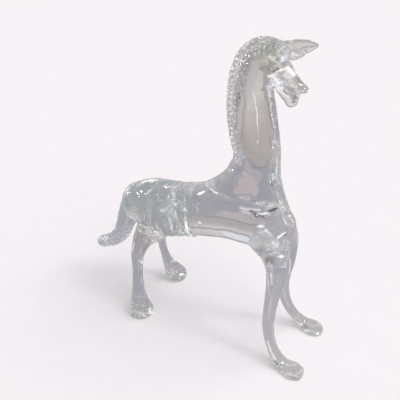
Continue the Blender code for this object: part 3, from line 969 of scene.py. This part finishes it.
# The second sheet's tones. Bands are in metres along "ahead" and "beside", from nothing to full.
NEAR_TONE = (0.50, 0.485, 0.495, 1)
SHADED_TONE = (0.41, 0.405, 0.44, 1)
SHADED_AHEAD, SHADED_BESIDE = (0.07, 0.14), (0.0, -0.03)
CARD_TONE = (0.525, 0.488, 0.492, 1)
CARD_AHEAD, CARD_BESIDE = 0.232, 0.08
CARD_HALF_DEPTH, CARD_HALF_WIDTH = 0.042, 0.055
CARD_RAGGED_SCALE, CARD_EDGE = 30.0, (1.45, 1.25)
# Painted light, as the glass would gather it on the sheet, and painted shade between, at the ends and in
# front.
PAINTED_GATHERED_LIGHT = (0.80, 0.81, 0.83, 1)
PAINTED_GATHERED_SHADE = (0.24, 0.24, 0.25, 1)
GATHERED_SCALE, GATHERED_TWIST = 26.0, 2.0
LIGHT_BAND, SHADE_BAND = (0.52, 0.60), (0.46, 0.38)
LEFT_END, RIGHT_END = (-0.075, -0.10), (0.15, 0.19)
BEHIND_FRONT, IN_FRONT = (0.0, 0.03), (-0.12, -0.16)
RIGHT_SHARE = 0.5
# Past the far edge lies a warmer, uneven tone, with a paler strip, dark corners and a dark upright.
EDGE_AHEAD = 0.29
EDGE_BAND = (EDGE_AHEAD - 0.004, EDGE_AHEAD + 0.012)
EDGE_TONE = (0.26, 0.23, 0.225, 1)
EDGE_IN, EDGE_OUT = (EDGE_AHEAD - 0.008, EDGE_AHEAD), (EDGE_AHEAD + 0.012, EDGE_AHEAD + 0.002)
EDGE_SHARE = 0.55
FAR_TONE = (0.42, 0.40, 0.405, 1)
RIGHT_TONE = (0.66, 0.62, 0.63, 1)
RIGHT_BAND = (0.36, 0.5)
CORNER_TONE = (0.25, 0.25, 0.26, 1)
CORNER_BAND = (0.5, 1.2)
STRIP_NEAR_TONE = (0.47, 0.435, 0.43, 1)
STRIP_FAR_TONE = (0.66, 0.63, 0.62, 1)
STRIP_LEFT, STRIP_RIGHT = (-0.21, -0.19), (0.42, 0.30)
STRIP_END, STRIP_PALES = (1.5, 1.1), (0.32, 0.85)
UPRIGHT_LEFT, UPRIGHT_RIGHT, UPRIGHT_SHARE = (-0.235, -0.215), (-0.18, -0.20), 0.6


def level_sheet(name, material, drop):
    """A wide level square just under the horse's soles."""
    corners = ((-1, -1), (1, -1), (1, 1), (-1, 1))
    mesh = bpy.data.meshes.new(name)
    mesh.from_pydata([(x * SHEET_REACH, y * SHEET_REACH, -drop) for x, y in corners], [], [(0, 1, 2, 3)])
    mesh.materials.append(material)
    sheet = bpy.data.objects.new(name, mesh)
    bpy.context.scene.collection.objects.link(sheet)
    return sheet


def matt(name):
    """A dull material without sheen, its shader and the field of its nodes."""
    material = bpy.data.materials.new(name)
    material.use_nodes = True
    shader = material.node_tree.nodes["Principled BSDF"]
    shader.inputs["Roughness"].default_value = MATT
    shader.inputs["Specular IOR Level"].default_value = 0.0
    shader.inputs["Emission Strength"].default_value = 1.0
    return material, shader, Field(material.node_tree)


acrylic, shader, field = matt("opal_acrylic")
grain = field.node("ShaderNodeTexNoise", None, {"Scale": GRAIN_SCALE, "Detail": 2.0})
white = field.flat(ACRYLIC).mixed(ACRYLIC_GRAIN, grain.fade(*GRAIN_BAND))
field.join(white, shader.inputs["Base Color"])
shader.inputs["Emission Color"].default_value = ACRYLIC_GLOW
sheet = level_sheet("sheet", acrylic, SHEET_DROP)
sheet.visible_transmission = False
sheet.visible_glossy = False

tones, shader, field = matt("room_floor")
shader.inputs["Base Color"].default_value = BLACK
spot = field.node("ShaderNodeTexCoord", output="Object")
far, side = spot.along_axis(ahead), spot.along_axis(beside)
seen = field.flat(NEAR_TONE)
seen = seen.mixed(SHADED_TONE, far.fade(*SHADED_AHEAD).greatest(side.fade(*SHADED_BESIDE)))
card_depth = (far - CARD_AHEAD) / CARD_HALF_DEPTH
card_width = (side - CARD_BESIDE) / CARD_HALF_WIDTH
card_ragged = spot.node("ShaderNodeTexNoise", None, {"Vector": spot, "Scale": CARD_RAGGED_SCALE})
card = card_depth * card_depth + card_width * card_width + card_ragged
seen = seen.mixed(CARD_TONE, card.fade(*CARD_EDGE))
# Painted light and painted shade that the glass would gather on the sheet, at its ends and in front.
painted_light_inputs = {"Vector": spot, "Scale": GATHERED_SCALE, "Detail": 4.0, "Distortion": GATHERED_TWIST}
painted_light_pattern = spot.node("ShaderNodeTexNoise", None, painted_light_inputs)
right_end = side.fade(*RIGHT_END) * far.fade(*BEHIND_FRONT)
busy = side.fade(*LEFT_END) * far.fade(*BEHIND_FRONT)
busy = busy.greatest(right_end).greatest(far.fade(*IN_FRONT))
seen = seen.mixed(PAINTED_GATHERED_LIGHT, right_end * RIGHT_SHARE)
seen = seen.mixed(PAINTED_GATHERED_LIGHT, painted_light_pattern.fade(*LIGHT_BAND) * busy)
seen = seen.mixed(PAINTED_GATHERED_SHADE, painted_light_pattern.fade(*SHADE_BAND) * busy)
strip = side.fade(*STRIP_LEFT) * side.fade(*STRIP_RIGHT) * far.fade(*STRIP_END)
past_edge = field.flat(FAR_TONE).mixed(RIGHT_TONE, side.fade(*RIGHT_BAND))
past_edge = past_edge.mixed(CORNER_TONE, (side * side).fade(*CORNER_BAND))
past_edge = past_edge.mixed(STRIP_NEAR_TONE, strip).mixed(STRIP_FAR_TONE, strip * far.fade(*STRIP_PALES))
upright = side.fade(*UPRIGHT_LEFT) * side.fade(*UPRIGHT_RIGHT) * UPRIGHT_SHARE
past_edge = past_edge.mixed(EDGE_TONE, upright)
seen = seen.mixed(past_edge, far.fade(*EDGE_BAND))
seen = seen.mixed(EDGE_TONE, far.fade(*EDGE_IN) * far.fade(*EDGE_OUT) * EDGE_SHARE)
field.join(seen, shader.inputs["Emission Color"])
tone_sheet = level_sheet("room_floor", tones, 3 * SHEET_DROP)
tone_sheet.visible_camera = False
tone_sheet.visible_diffuse = False
tone_sheet.visible_shadow = False

# The light. A wide lamp high on the right throws the soft shadow and a small one its dark heart.
# All round is a pale dome, warmer ahead with a cool patch low on its right, and slim boxes draw
# the bright streaks.
DOME = (0.36, 0.36, 0.375, 1)
AHEAD_TONE = (0.66, 0.63, 0.625, 1)
BACK_TONE = (0.64, 0.63, 0.63, 1)
COOL_TONE = (0.78, 0.81, 0.88, 1)
# Bands of turn, in radians from ahead or squared, and of height, from nothing to full.
SIDES, SIDES_UNDER = (0.8, 1.6), (0.6, 0.4)
BACK, BACK_UNDER = (3.0, 5.5), (0.6, 0.4)
AHEAD_LEFT, AHEAD_RIGHT, AHEAD_UNDER = (-1.1, -0.7), (1.1, 0.7), (0.55, 0.35)
COOL_LEFT, COOL_RIGHT = (-0.05, 0.07), (0.60, 0.45)
COOL_ABOVE, COOL_UNDER = (-0.20, -0.10), (0.45, 0.38)
# The two lamps' side, height and distance, and each one's name, spread in degrees and strength.
KEY_AZIMUTH, KEY_ELEVATION, KEY_DISTANCE = 9, 51, 3.0
KEYS = (("key", 84, 3.0), ("key_core", 13, 0.7))
# Each box: name, side, height, the place it shines on, distance, width, height in metres, watts.
BOXES = (
    ("back_box", -166.5, 20, (0.015, -0.014, 0.159), 1.4, 0.20, 0.15, 3.0),
    ("neck_strip", -80, -8.5, (0.0635, -0.0125, 0.242), 0.8, 0.06, 0.12, 0.15),
    ("high_box", 150, 50, (0.0, 0.0, 0.15), 1.4, 0.20, 0.15, 1.6),
    ("front_strip", 10, 5, (0.092, -0.01, 0.158), 1.1, 0.10, 0.40, 0.5),
    ("side_strip", -92, 16, (0.08, -0.017, 0.157), 1.0, 0.30, 0.08, 0.4),
)
world = bpy.data.worlds.new("studio")
bpy.context.scene.world = world
world.use_nodes = True
dome = Field(world.node_tree)
direction = dome.node("ShaderNodeTexCoord", output="Generated")
turn = dome.maths("ARCTAN2", direction.along_axis(beside), direction.along_axis(ahead))
tilt = direction.parts()[2]
sky = dome.flat(DOME)
sky = sky.mixed(CORNER_TONE, (turn * turn).fade(*SIDES) * tilt.fade(*SIDES_UNDER))
sky = sky.mixed(BACK_TONE, (turn * turn).fade(*BACK) * tilt.fade(*BACK_UNDER))
sky = sky.mixed(AHEAD_TONE, turn.fade(*AHEAD_LEFT) * turn.fade(*AHEAD_RIGHT) * tilt.fade(*AHEAD_UNDER))
cool = turn.fade(*COOL_LEFT) * turn.fade(*COOL_RIGHT) * tilt.fade(*COOL_ABOVE) * tilt.fade(*COOL_UNDER)
sky = sky.mixed(COOL_TONE, cool)
background = world.node_tree.nodes["Background"]
dome.join(sky, background.inputs["Color"])
background.inputs["Strength"].default_value = 1.0


def lamp_from(name, kind, azimuth, elevation, centre, distance, energy):
    """A lamp that shines on the centre from the given side and height, in degrees."""
    azimuth, elevation = math.radians(azimuth), math.radians(elevation)
    level = math.cos(elevation)
    toward_lamp = Vector((level * math.cos(azimuth), level * math.sin(azimuth), math.sin(elevation)))
    data = bpy.data.lights.new(name, kind)
    data.energy = energy
    lamp = bpy.data.objects.new(name, data)
    lamp.location = Vector(centre) + toward_lamp * distance
    lamp.rotation_mode = "QUATERNION"
    lamp.rotation_quaternion = toward_lamp.to_track_quat("Z", "Y")
    lamp.visible_camera = False
    bpy.context.scene.collection.objects.link(lamp)
    return data


for name, spread, energy in KEYS:
    key = lamp_from(name, "SUN", KEY_AZIMUTH, KEY_ELEVATION, (0, 0, 0), KEY_DISTANCE, energy)
    key.angle = math.radians(spread)
bpy.data.objects["key"].visible_glossy = False
bpy.data.objects["key"].visible_transmission = False
for name, azimuth, elevation, centre, distance, width, height_m, watts in BOXES:
    box = lamp_from(name, "AREA", azimuth, elevation, centre, distance, watts)
    bpy.data.objects[name].visible_diffuse = False
    box.shape = "ELLIPSE"
    box.size = width
    box.size_y = height_m

# The backdrop. A sweep of white paper all round, far enough off to have no corner. It is seen
# past the horse only: neither the glass nor the lamps meet it.
BACKDROP_REACH = 13.0
BACKDROP_AROUND, BACKDROP_UP = 64, 32
BACKDROP = (0.93, 0.887, 0.913, 1)
BACKDROP_FIBRE = (0.925, 0.882, 0.908, 1)
FIBRE_SCALE = 3.0
paper, shader, field = matt("backdrop_paper")
fibre = field.node("ShaderNodeTexNoise", None, {"Scale": FIBRE_SCALE})
shader.inputs["Base Color"].default_value = BLACK
field.join(field.flat(BACKDROP).mixed(BACKDROP_FIBRE, fibre), shader.inputs["Emission Color"])
shell = bmesh.new()
bmesh.ops.create_uvsphere(
    shell, u_segments=BACKDROP_AROUND, v_segments=BACKDROP_UP, radius=BACKDROP_REACH
)
backdrop_mesh = bpy.data.meshes.new("backdrop")
shell.to_mesh(backdrop_mesh)
shell.free()
backdrop_mesh.shade_smooth()
backdrop_mesh.materials.append(paper)
backdrop = bpy.data.objects.new("backdrop", backdrop_mesh)
bpy.context.scene.collection.objects.link(backdrop)
for ray in ("diffuse", "glossy", "transmission", "volume_scatter", "shadow"):
    setattr(backdrop, "visible_" + ray, False)

# The camera. It looks down on the horse from its right front, close, so the near legs loom, and
# its lens is set for a square picture, its length counted in picture points.
CAMERA_ELEVATION = math.radians(29.6)
CAMERA_DISTANCE = 0.45
PICTURE_SIDE = 400
LENS_POINTS = 459
SENSOR = 36
GLASS_BOUNCES = 32
NEAR_CUT = 0.01
AIM = Vector(at(54, 0, 141))
away = -ahead * math.cos(CAMERA_ELEVATION) + Vector((0, 0, math.sin(CAMERA_ELEVATION)))
lens = bpy.data.cameras.new("camera")
lens.sensor_width = SENSOR
lens.lens = SENSOR * LENS_POINTS / PICTURE_SIDE
lens.clip_start = NEAR_CUT
camera = bpy.data.objects.new("camera", lens)
camera.location = AIM + away * CAMERA_DISTANCE
camera.rotation_mode = "QUATERNION"
camera.rotation_quaternion = away.to_track_quat("Z", "Y")
bpy.context.scene.collection.objects.link(camera)
bpy.context.scene.camera = camera
bpy.context.scene.view_settings.view_transform = "Standard"
for limit in ("max_bounces", "transmission_bounces", "glossy_bounces"):
    setattr(bpy.context.scene.cycles, limit, GLASS_BOUNCES)
